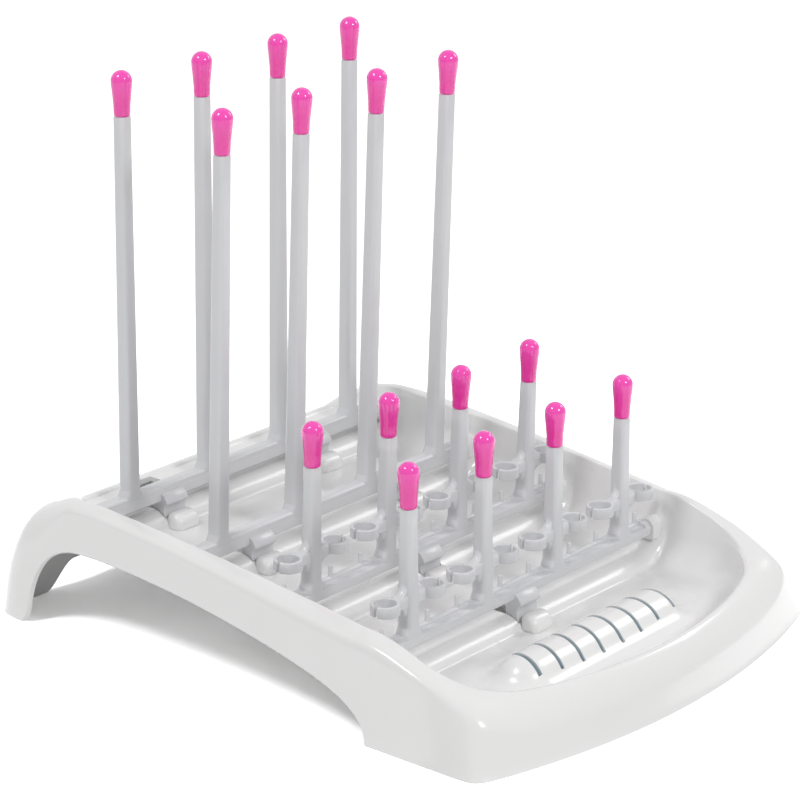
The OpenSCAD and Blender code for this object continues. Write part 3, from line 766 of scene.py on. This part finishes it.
def tray_paint(finish, sizes):
    """Gloss with a fine spark texture on the panels, and painted shade deep in the slits."""
    def build(w):
        cloud = w.noise(14.0, 3.0)
        x, y, z = (w.node("ShaderNodeSeparateXYZ", None, {0: w.place()}, out=k)
                   for k in range(3))
        wide = x.maths("ABSOLUTE")
        panels = wide.step(*GRAIN_WIDE) * y.step(*GRAIN_FRONT) * y.step(*GRAIN_REAR)
        # Squared distance from the ridge's middle line, then depth below its round crest
        past = (wide + (RIDGE_FOOT * MM - sizes.ridge_half)).maths("MAXIMUM", 0.0)
        off = y + -RIDGE_Y * MM
        span = past * past + off * off
        floor = PANEL_Z[3] * MM
        crest = (RIDGE_CREST_R * MM) ** 2 - span
        high = crest.maths("SQRT") + (floor + sizes.ridge_high - RIDGE_CREST_R * MM)
        # Painted shade: walls and floors deep in the slits take the slit colour, standing in for
        # their shadow
        slits = ((z * -1 + high).step(*SLIT_SHADE_DEPTH) * span.step(*SLIT_SHADE_SPAN)
                 * z.step(floor, floor + MM))
        body = cloud.tint(rgba(finish.tray, 0.985), rgba(finish.tray, 1.015))
        return {"Base Color": slits.tint(body, rgba(finish.slit_shade)),
                "Roughness": panels * 0.08 + (cloud * 0.06 + (finish.tray_rough - 0.03)),
                "IOR": PLASTIC_IOR, "Coat Weight": 0.45, "Coat Roughness": 0.07,
                "Normal": w.grain(900.0, panels * 0.14 + 0.02)}
    return paint("Tray gloss", build)


def bar_paint(finish):
    """Satin grey of the bars, pegs and rings."""
    def build(w):
        cloud = w.noise(40.0, 3.0)
        return {"Base Color": cloud.tint(rgba(finish.bar, 0.97), rgba(finish.bar, 1.03)),
                "Roughness": cloud * 0.08 + (finish.bar_rough - 0.04),
                "IOR": PLASTIC_IOR, "Normal": w.grain(1400.0, 0.06)}
    return paint("Bar satin", build)


def tip_paint(finish):
    """Clear-looking silicone, paler towards the tip's bulb."""
    def build(w):
        rise = w.node("ShaderNodeAttribute", {"attribute_name": "rise"}, out="Fac")
        cloud = w.noise(160.0, 2.0)
        core = cloud.tint(rgba(finish.tip, 0.92), rgba(finish.tip, 1.04))
        return {"Base Color": rise.step(0.25, 1.0).tint(core, rgba(finish.tip_top)),
                "Roughness": cloud * 0.08 + (finish.tip_rough - 0.04),
                "Subsurface Weight": 0.15, "Subsurface Radius": (0.004, 0.0012, 0.002),
                "Subsurface Scale": 1.0, "IOR": SILICONE_IOR, "Coat Weight": 0.6,
                "Coat Roughness": 0.06, "Normal": w.grain(1600.0, 0.05)}
    return paint("Tip silicone", build)


# ---- tray pieces


def across(x, y, z):
    """Puts an outline's (forward, up) points in the plane at x, about (y, z)."""
    return lambda u, v: (x, y - u, z + v)


def block(name, x0, x1, outline, at):
    """A prism along X between x0 and x1; outline is (forward, up) about at = (y, z)."""
    return prism(name, outline, (x1 - x0, 0, 0), across(x0, *at))


def rod(name, radius, x0, x1, y, z, n=40):
    """A cylinder along X."""
    return block(name, x0, x1, [(radius * math.sin(2 * math.pi * k / n),
                                 radius * math.cos(2 * math.pi * k / n)) for k in range(n)],
                 (y, z))


def foot_front(sizes):
    """How far a latch foot's front stands before the bar's axis."""
    return sizes.depth / MM / 2 + FOOT_OUT


def stop_back(row, bars):
    """How far the rear of a row's stops stands before the bar's axis."""
    lean = math.radians(ROW_LEAN[row])
    return foot_front(bars) * math.cos(lean) - FOOT_DROP * math.sin(lean) + STOP_GAP


def foot_places(row):
    """Places of a row's latch feet along its bar."""
    return TALL_FOOT_X if row < 2 else (0.0,)


def tray_shell(form):
    """Skin of the whole tray; the basin and the rear deck are one flat face each."""
    rings, upper = form.rings()
    obj = loft("Tray", rings)
    strips = len(rings[0]) - 1
    top = upper - 1
    under = strips - (strips - 2 * upper) // 2 - 1
    flat = [n for n, ring in enumerate(rings[:-1])
            if rings[n + 1][top][1] < BASIN_Y
            or (ring[top][1] > POCKET_BACK - 1 and ring[top][2] > POCKET_Z + 4)]
    strip = {n * strips + column for n in flat for column in (top, under)}
    edit(obj)
    bpy.ops.mesh.select_mode(type="FACE")
    bpy.ops.mesh.select_all(action="DESELECT")
    close(obj)
    for polygon in obj.data.polygons:
        polygon.select = polygon.index in strip
    bpy.ops.object.mode_set(mode="EDIT")
    bpy.ops.mesh.delete(type="FACE")
    bpy.ops.mesh.select_all(action="SELECT")
    weld()
    bpy.ops.mesh.fill_holes(sides=0)
    return tidy_shell(close(obj))


def boss(form, row, side):
    """Rounded block on a side wall that carries an end pin."""
    r = BOSS_R
    arch = [(-r + 1.0, -r - 0.5), (r - 1.0, -r - 0.5), (r, -r + 0.8)] + \
        arc(0, 0, r, 0, 180, 24) + [(-r, -r + 0.8)]
    ends = sorted((side * BOSS_X, side * (form.rim_half - 1)))
    obj = block("Boss", *ends, arch, (BAR_Y[row], BAR_Z[row]))
    return round_edges(obj, 0.7, 3, 50)


def stop_bump(sizes, bars, row, x):
    """Rounded bump before a latch foot."""
    high, long = sizes.stop_high / MM, sizes.stop_long / MM
    edge = 6.0
    outline = [(0, -1.3), (long, -1.3)] + arc(long - edge, high - edge, edge, 0, 90, 14) + \
        [(0, high)]
    obj = block("Stop", x - FOOT_WIDE / 2, x + FOOT_WIDE / 2, outline,
                (BAR_Y[row] - stop_back(row, bars), PANEL_Z[row]))
    return round_edges(obj, 3.2, 6, 50)


def ridge_profile(sizes, n=16):
    """Half section of the ridge from the crest to its foot: (out, up)."""
    high, foot, crest_r = sizes.ridge_high / MM, RIDGE_FOOT, RIDGE_CREST_R
    turn = 2 * math.atan(high / foot)
    foot_r = foot / math.sin(turn) - crest_r
    crest = [(crest_r * math.sin(a), high - crest_r * (1 - math.cos(a)))
             for a in (turn * k / n for k in range(n + 1))]
    hollow = [(foot - foot_r * math.sin(a), foot_r * (1 - math.cos(a)))
              for a in (turn * (1 - k / n) for k in range(1, n + 1))]
    return crest, crest + hollow


def ridge(sizes):
    """Ribbed ridge in the front basin, with slits that fan out to the front."""
    y, z = RIDGE_Y, PANEL_Z[3]
    straight = sizes.ridge_half / MM - RIDGE_FOOT
    crest, curve = ridge_profile(sizes)
    rows = []
    for out, up in curve + [(RIDGE_FOOT, -1.5)]:
        ring = [(straight + out * math.cos(a), y + out * math.sin(a), z + up)
                for a in (math.radians(-90 + 180 * k / 28) for k in range(29))]
        back = [(-px, py, pz) for px, py, pz in ring[::-1]]
        rows.append(ring + back + ring[:1])
    obj = stack("Ridge", rows)
    deep, half = sizes.slit_deep / MM, sizes.slit_wide / MM / 2
    above = sizes.ridge_high / MM + 5
    middle = (SLIT_COUNT - 1) / 2
    for n in range(SLIT_COUNT):
        x = (n - middle) * SLIT_PITCH
        reach = SLIT_FRONT - SLIT_LESS * ((n - middle) / middle) ** 2
        low = [(-u, v - deep) for u, v in crest[::-1] if 0 < u < SLIT_REAR] + \
            [(u, v - deep) for u, v in curve if u < reach]
        low = [(-SLIT_REAR, low[0][1])] + low + [(reach, low[-1][1])]
        cutter = block("Slit", -half, half, low + [(reach, above), (-SLIT_REAR, above)], (0, 0))
        turn = Matrix.Translation((x * MM, y * MM, z * MM)) @ Matrix.Rotation(
            math.atan(x / SLIT_FAN_R), 4, "Z")
        cutter.data.transform(turn)
        combine(obj, cutter, "DIFFERENCE")
    return obj


class RACK_OT_tray(bpy.types.Operator):
    """Models the moulded tray with its bosses, stops and ridge"""
    bl_idname = "rack.tray"
    bl_label = "Tray"

    def execute(self, context):
        sizes, bars = context.scene.rack_tray, context.scene.rack_bars
        form = TrayForm(sizes)
        obj = tray_shell(form)
        adds = [boss(form, row, side) for row in range(4) for side in (-1, 1)]
        adds += [stop_bump(sizes, bars, row, x) for row in range(4) for x in foot_places(row)]
        join_all(obj, adds + [ridge(sizes)])
        cuts = []
        room = math.hypot(bars.depth / MM / 2, RIB_TOP) + BAR_ROOM
        room_x = BOSS_X - BAR_END_ROOM
        back = math.hypot(FOOT_LONG - foot_front(bars), FOOT_DROP) + FOOT_ROOM
        half = FOOT_WIDE / 2 + FOOT_ROOM
        low, high = -PANEL_DROP - SLOT_PAST, SLOT_PAST
        for row in range(4):
            y, z = BAR_Y[row], BAR_Z[row]
            cuts.append(rod("Room", room, -room_x, room_x, y, z, 64))
            cuts += [rod("Bore", HINGE_PIN_R + HINGE_FIT,
                         *sorted((side * (room_x - 1), side * BORE_END_X)), y, z)
                     for side in (-1, 1)]
            front = stop_back(row, bars)
            cuts += [block("Slot", x - half, x + half,
                           [(front, low), (front, high), (-back, high), (-back, low)], (y, z))
                     for x in foot_places(row)]
        cut_all(obj, cuts)
        tidy_shell(obj)
        finish_piece(obj, "tray", "tray", tray_paint(context.scene.rack_finish, sizes), "tray")
        return {"FINISHED"}


# ---- bar pieces


def rounded_ring(half_x, half_y, r, z, n=6):
    """Outline of a rounded rectangle at height z."""
    out = []
    for quarter, (sx, sy) in enumerate(((1, 1), (-1, 1), (-1, -1), (1, -1))):
        out += [(x, y, z) for x, y in arc(sx * (half_x - r), sy * (half_y - r), r,
                                          90 * quarter, 90 * quarter + 90, n)]
    return out + out[:1]


def stack(name, rows):
    """A closed solid through outlines laid one over the next."""
    return tidy_shell(cap_ends(tidy_shell(loft(name, rows))))


def peg(sizes, x, high, foot_z):
    """Tapered peg with rounded corners, a flare at its foot and the spigot on top."""
    base, top = sizes.peg_base / MM / 2, sizes.peg_top / MM / 2
    r = sizes.peg_round / MM
    rows = []

    def ring(z, wide=0.0, inset=0.0):
        f = z / high
        half = mix(base, top, f) - inset
        corner = max(mix(r, r * top / base, f) - inset * 0.5, 0.3)
        rows.append([(px + x, py, pz) for px, py, pz in
                     rounded_ring(half + wide, half, corner, z)])
    ring(foot_z - 2.0, PEG_FLARE)
    for k in range(7):
        a = math.radians(90 * k / 6)
        ring(foot_z + FLARE_HIGH * math.sin(a), PEG_FLARE * (1 - math.sin(a)))
    for k in range(1, 9):
        ring(mix(foot_z + FLARE_HIGH, high - 0.7, k / 8))
    ring(high - 0.2, inset=0.25)
    ring(high, inset=0.7)
    turns = [math.atan2(py, px - x) for px, py, _ in rows[0]]
    for radius, z in ((SPIGOT_R, 0.0), (SPIGOT_R, SPIGOT_HIGH - 0.6),
                      (SPIGOT_R - 0.5, SPIGOT_HIGH)):
        rows.append([(x + radius * math.cos(t), radius * math.sin(t), high + z)
                     for t in turns])
    return stack("Peg", rows)


def latch_foot(sizes, x):
    """Latch foot: a small brow before the bar, a plane front, undercut at its heel."""
    half = sizes.depth / MM / 2
    front, sole = foot_front(sizes), foot_front(sizes) - FOOT_LONG
    low = sizes.height / MM / 2
    heel = [(u, v) for u, v in arc(3.2 - half - HEEL_R, -low - HEEL_R, HEEL_R, 78, -40, 14)
            if v > 1.0 - FOOT_DROP]
    brow = bend((half, 0.4), (half + 3.6, -1.6), (half + 4.3, -4.4), 5)
    outline = [(0, 0)] + brow + bend((half + 4.1, -5.4), (front - 1.9, -8.0),
                                     (front - 1.0, -10.8), 6)
    outline += [(front, -FOOT_DROP), (sole, -FOOT_DROP),
                (sole, 1.0 - FOOT_DROP)] + heel[::-1] + [(1 - half, -low + 1.0)]
    obj = block("Foot", x - FOOT_WIDE / 2, x + FOOT_WIDE / 2, outline, (0, 0))
    return round_edges(obj, 0.5, 2, 35)


def rail(sizes, outline):
    """The bar's own length with rounded end barrels and its hinge pins."""
    half = sizes.long / MM / 2
    obj = round_edges(block("Rail", -half, half, outline, (0, 0)), sizes.edge / MM, 2, 35)
    adds = []
    for side in (-1, 1):
        barrel = rod("Barrel", BARREL_R, *sorted((side * (half - 4.5), side * (half + 0.1))),
                     0, 0, 48)
        adds.append(round_edges(barrel, 0.5, 2, 50))
        pin = rod("Pin", HINGE_PIN_R, *sorted((side * (half - 1), side * (half + HINGE_PIN_L))),
                  0, 0, 40)
        adds.append(round_edges(pin, 0.4, 2, 50))
    return join_all(obj, adds)


def tall_outline(sizes):
    """Section of a tall bar, rounded more at the rear: (forward, up)."""
    d, h, f, r = sizes.depth / MM / 2, sizes.height / MM / 2, 1.5, 2.0
    return (arc(d - f, f - h, f, -90, 0, 5) + arc(d - f, h - f, f, 0, 90, 5)
            + arc(r - d, h - r, r, 90, 180, 6) + arc(r - d, r - h, r, 180, 270, 6))


def short_outline(sizes):
    """Section of a short bar: a low flange with a rounded rib along its rear."""
    d, low, r = sizes.depth / MM / 2, FLANGE_LIFT - sizes.height / MM / 2, RIB_R
    return ([(d, low), (d, FLANGE_TOP), (2 * r - d, FLANGE_TOP)]
            + arc(r - d, RIB_TOP - r, r, 0, 180, 10) + [(-d, low)])


def hump(x):
    """Raised shelf of a short bar about a peg, bowed out towards the peg's front."""
    wide, back = 10.6, -3.4
    side = bend((wide, -0.9), (7.4, 1.6), (4.7, 4.4), 8)
    outline = side + [(-u, v) for u, v in side[::-1]] + [(-wide, back), (wide, back)]
    obj = prism("Hump", outline, (0, 0, 4.6), lambda u, v: (x + u, -v, 0.0))
    return round_edges(obj, 0.6, 2, 40)


def clip_ring(sizes, x, side):
    """Open clip ring beside a peg, its gap on the side away from the peg."""
    bore, wall = sizes.ring_bore / MM, sizes.ring_wall / MM
    half_gap = math.degrees(math.asin(sizes.ring_gap / MM / 2 / (bore + wall / 2)))
    low, high, r = RING_LOW, RING_HIGH, 0.55
    section = []
    for cx, cz, start in ((bore + wall - r, high - r, 0), (bore + r, high - r, 90),
                          (bore + r, low + r, 180), (bore + wall - r, low + r, 270)):
        section += arc(cx, cz, r, start, start + 90, 3)
    rows = []
    for k in range(49):
        a = math.radians(mix(half_gap, 360 - half_gap, k / 48))
        rows.append([(x + side * (RING_OUT + u * math.cos(a)), u * math.sin(a), v)
                     for u, v in section + section[:1]])
    return stack("Ring", rows)


def web(sizes, x, side):
    """Web between a peg and its ring: a fin on top and a hollow cone beneath."""
    bore = sizes.ring_bore / MM
    reach = RING_OUT - bore - sizes.ring_wall / MM / 2
    rows = []

    def level(z, out, thick):
        r = min(thick * 0.95, 2.2)
        rows.append([(x + side * (px + out / 2), py, pz) for px, py, pz in
                     rounded_ring(out / 2, thick, r, z, 4)])
    for k in range(11):
        a = math.radians(9 * k)
        level(RING_LOW - CONE_LOW * (1 - math.sin(a)), mix(reach, WEB_PEG_SIDE, math.cos(a)),
              mix(CONE_THIN, WEB_THICK, k / 10))
    level(RING_HIGH - 3.0, reach, WEB_THICK)
    level(RING_HIGH - 0.6, reach, 3.2)
    level(RING_HIGH, reach - 0.3, 2.9)
    for k in range(1, 11):
        a = math.radians(9 * k)
        level(RING_HIGH + FIN_HIGH * (1 - math.cos(a)),
              mix(reach - 0.3, WEB_PEG_SIDE, math.sin(a)), FIN_THICK)
    obj = stack("Web", rows)
    cut = prism("Bore", arc(0, 0, bore, 0, 351, 39), (0, 0, 30.0),
                lambda u, v: (x + side * RING_OUT + u, v, 5.0))
    return combine(obj, cut, "DIFFERENCE")


def nib(x):
    """Small upright pin on the rib of a short bar."""
    return stack("Nib", [[(x + radius * math.cos(t), NIB_BACK + radius * math.sin(t), z)
                          for t in (2 * math.pi * k / 20 for k in range(21))]
                         for radius, z in NIB])


def set_in_row(obj, row):
    """Puts a piece drawn about the bar's axis in its row's place and lean."""
    place = Matrix.Translation((0, BAR_Y[row] * MM, BAR_Z[row] * MM))
    obj.data.transform(place @ Matrix.Rotation(math.radians(ROW_LEAN[row]), 4, "X"))
    return obj


def make_bars(context, rows):
    """The bars of the named rows, each one piece with its pegs and latch feet."""
    sizes = context.scene.rack_bars
    material = bar_paint(context.scene.rack_finish)
    for row in rows:
        tall = row < 2
        high = (sizes.tall_peg if tall else sizes.short_peg) / MM
        high -= context.scene.rack_tips.long / MM
        obj = rail(sizes, tall_outline(sizes) if tall else short_outline(sizes))
        adds = [latch_foot(sizes, x) for x in foot_places(row)]
        for x in PEG_X:
            adds.append(peg(sizes, x, high, sizes.height / MM / 2 if tall else RIB_TOP))
            if not tall:
                adds.append(hump(x))
                for side in (-1, 1):
                    adds += [web(sizes, x, side), clip_ring(sizes, x, side),
                             nib(x + side * RING_OUT)]
        join_all(obj, adds)
        obj.name = ROWS[row] + "_rail_and_pegs"
        set_in_row(tidy_shell(obj), row)
        finish_piece(obj, ROWS[row] + "_row", "bars", material, ROWS[row] + "_bar")


class RACK_OT_tall_bars(bpy.types.Operator):
    """Models the two tall bars with their pegs"""
    bl_idname = "rack.tall_bars"
    bl_label = "Tall Bars"

    def execute(self, context):
        make_bars(context, (0, 1))
        return {"FINISHED"}


class RACK_OT_short_bars(bpy.types.Operator):
    """Models the two short bars with their clip rings"""
    bl_idname = "rack.short_bars"
    bl_label = "Short Bars"

    def execute(self, context):
        make_bars(context, (2, 3))
        return {"FINISHED"}


class RACK_OT_tips(bpy.types.Operator):
    """Models the sixteen soft tips over the pegs' spigots"""
    bl_idname = "rack.tips"
    bl_label = "Soft Tips"

    def execute(self, context):
        sizes, bars = context.scene.rack_tips, context.scene.rack_bars
        material = tip_paint(context.scene.rack_finish)
        long, base, widest = sizes.long / MM, sizes.base / MM, sizes.widest / MM
        bulb, bore, top = long - widest, TIP_BORE_R, TIP_BORE_HIGH
        profile = [(0.0, top), (bore - 0.45, top), (bore, top - 0.3), (bore, 0.3),
                   (bore + 0.1, 0.0), (base - 0.7, 0.0)]
        profile += arc(base - 0.7, 0.7, 0.7, -60, 0, 3)
        # Shares of the widening and of the height, from the lower edge to the bulb
        marks = ((0.0, 0.7 / bulb), (0.14, 0.32), (0.55, 0.64), (0.9, 0.87), (1.0, 1.0))
        for (r0, f0), (r1, f1) in zip(marks, marks[1:]):
            profile += [(mix(base, widest, mix(r0, r1, k / 3)), bulb * mix(f0, f1, k / 3))
                        for k in (1, 2, 3)]
        profile += arc(0, bulb, widest, 0, 90, 12)[1:]
        for row in range(4):
            high = (bars.tall_peg if row < 2 else bars.short_peg) / MM - long
            for n, x in enumerate(PEG_X, 1):
                rows = [[(x + r * math.cos(t), r * math.sin(t), high + z)
                         for t in (2 * math.pi * k / 48 for k in range(49))]
                        for r, z in profile]
                obj = set_in_row(tidy_shell(loft(f"{ROWS[row]}_soft_tip_{n}", rows)), row)
                rise = obj.data.attributes.new("rise", "FLOAT", "POINT")
                foot = min(v.co.z for v in obj.data.vertices)
                rise.data.foreach_set("value", [(v.co.z - foot) / sizes.long
                                                for v in obj.data.vertices])
                finish_piece(obj, ROWS[row] + "_row", "tips", material,
                             f"{ROWS[row]}_tip_{n}", angle=50)
        return {"FINISHED"}


# ---- the stage


def plain_floor(stage):
    """Pale floor and backdrop that show white behind the object and keep its shadow."""
    material = bpy.data.materials.new("Floor")
    wire = blank(material)
    shade = wire.seen().tint(rgba(stage.floor), (stage.white,) * 3 + (1.0,))
    matt = wire.node("ShaderNodeBsdfDiffuse", None, {"Color": shade})
    wire.node("ShaderNodeOutputMaterial", None, {"Surface": matt})
    return material


def white_world(stage):
    """Surroundings that look white and light the object more gently."""
    world = bpy.data.worlds.new("Surroundings")
    wire = blank(world)
    strength = wire.seen() * (1.0 - stage.sky) + stage.sky
    back = wire.node("ShaderNodeBackground", None, {"Color": (1, 1, 1, 1),
                                                    "Strength": strength})
    wire.node("ShaderNodeOutputWorld", None, {"Surface": back})
    return world


def lamp(name, spot, watts):
    """A square area lamp set as its spot tells."""
    at, look, size = spot
    clear_selection()
    bpy.ops.object.light_add(type="AREA", location=at)
    obj = bpy.context.object
    obj.name = name
    obj.data.size = size
    obj.data.energy = watts
    obj.rotation_euler = (Vector(look) - Vector(at)).to_track_quat("-Z", "Y").to_euler()
    return obj


class RACK_OT_stage(bpy.types.Operator):
    """Sets the floor, backdrop, lamps and camera"""
    bl_idname = "rack.stage"
    bl_label = "Stage"

    def execute(self, context):
        stage = context.scene.rack_stage
        half, back, r = FLOOR_HALF, FLOOR_BACK, BACKDROP_R
        profile = [(-half, 0.0), (back, 0.0)] + arc(back, r, r, -84, 0, 14) + \
            [(back + r, BACKDROP_TOP)]
        rows = [[(x, y, z) for x in (-half, -half / 3, half / 3, half)] for y, z in profile]
        floor = loft("Floor", rows)
        pick(floor)
        bpy.ops.object.shade_smooth()
        floor.data.materials.append(plain_floor(stage))
        bpy.context.scene.world = white_world(stage)
        lamps = [lamp("Key", KEY_LAMP, stage.key), lamp("Fill", FILL_LAMP, stage.fill),
                 lamp("Side", SIDE_LAMP, stage.side)]
        bpy.ops.object.camera_add()
        camera = bpy.context.object
        camera.name = "Camera"
        azimuth, tilt, roll = (math.radians(a) for a in CAMERA_TURN)
        camera.matrix_world = (
            Matrix.Translation(CAMERA_AT) @ Matrix.Rotation(azimuth, 4, "Z")
            @ Matrix.Rotation(math.pi / 2 - tilt, 4, "X") @ Matrix.Rotation(roll, 4, "Z"))
        camera.data.lens = CAMERA_LENS
        camera.data.sensor_width = CAMERA_SENSOR
        camera.data.clip_end = CAMERA_FAR
        context.scene.camera = camera
        context.scene.view_settings.view_transform = "Standard"
        return {"FINISHED"}


class RACK_PT_panel(bpy.types.Panel):
    """Lists the rack's sizes, finishes and builders"""
    bl_idname = "RACK_PT_panel"
    bl_label = "Drying Rack"
    bl_space_type = "VIEW_3D"
    bl_region_type = "UI"
    bl_category = "Rack"

    def draw(self, context):
        scene = context.scene
        for props, operators in (
                (scene.rack_tray, ("rack.tray",)),
                (scene.rack_bars, ("rack.tall_bars", "rack.short_bars")),
                (scene.rack_tips, ("rack.tips",)), (scene.rack_finish, ()),
                (scene.rack_stage, ("rack.stage",))):
            box = self.layout.box()
            for name in props.bl_rna.properties.keys():
                if name not in ("rna_type", "name"):
                    box.prop(props, name)
            for operator in operators:
                box.operator(operator)


CLASSES = (TrayProps, BarProps, TipProps, FinishProps, StageProps, RACK_OT_tray,
           RACK_OT_tall_bars, RACK_OT_short_bars, RACK_OT_tips, RACK_OT_stage, RACK_PT_panel)
SETTINGS = {"rack_tray": TrayProps, "rack_bars": BarProps, "rack_tips": TipProps,
            "rack_finish": FinishProps, "rack_stage": StageProps}


def register():
    for kind in CLASSES:
        bpy.utils.register_class(kind)
    for name, kind in SETTINGS.items():
        setattr(bpy.types.Scene, name, PointerProperty(type=kind))


def unregister():
    for name in SETTINGS:
        delattr(bpy.types.Scene, name)
    for kind in reversed(CLASSES):
        bpy.utils.unregister_class(kind)


def main():
    """Builds every piece and the stage."""
    register()
    bpy.ops.rack.tray()
    bpy.ops.rack.tall_bars()
    bpy.ops.rack.short_bars()
    bpy.ops.rack.tips()
    bpy.ops.rack.stage()


if __name__ == "__main__":
    main()
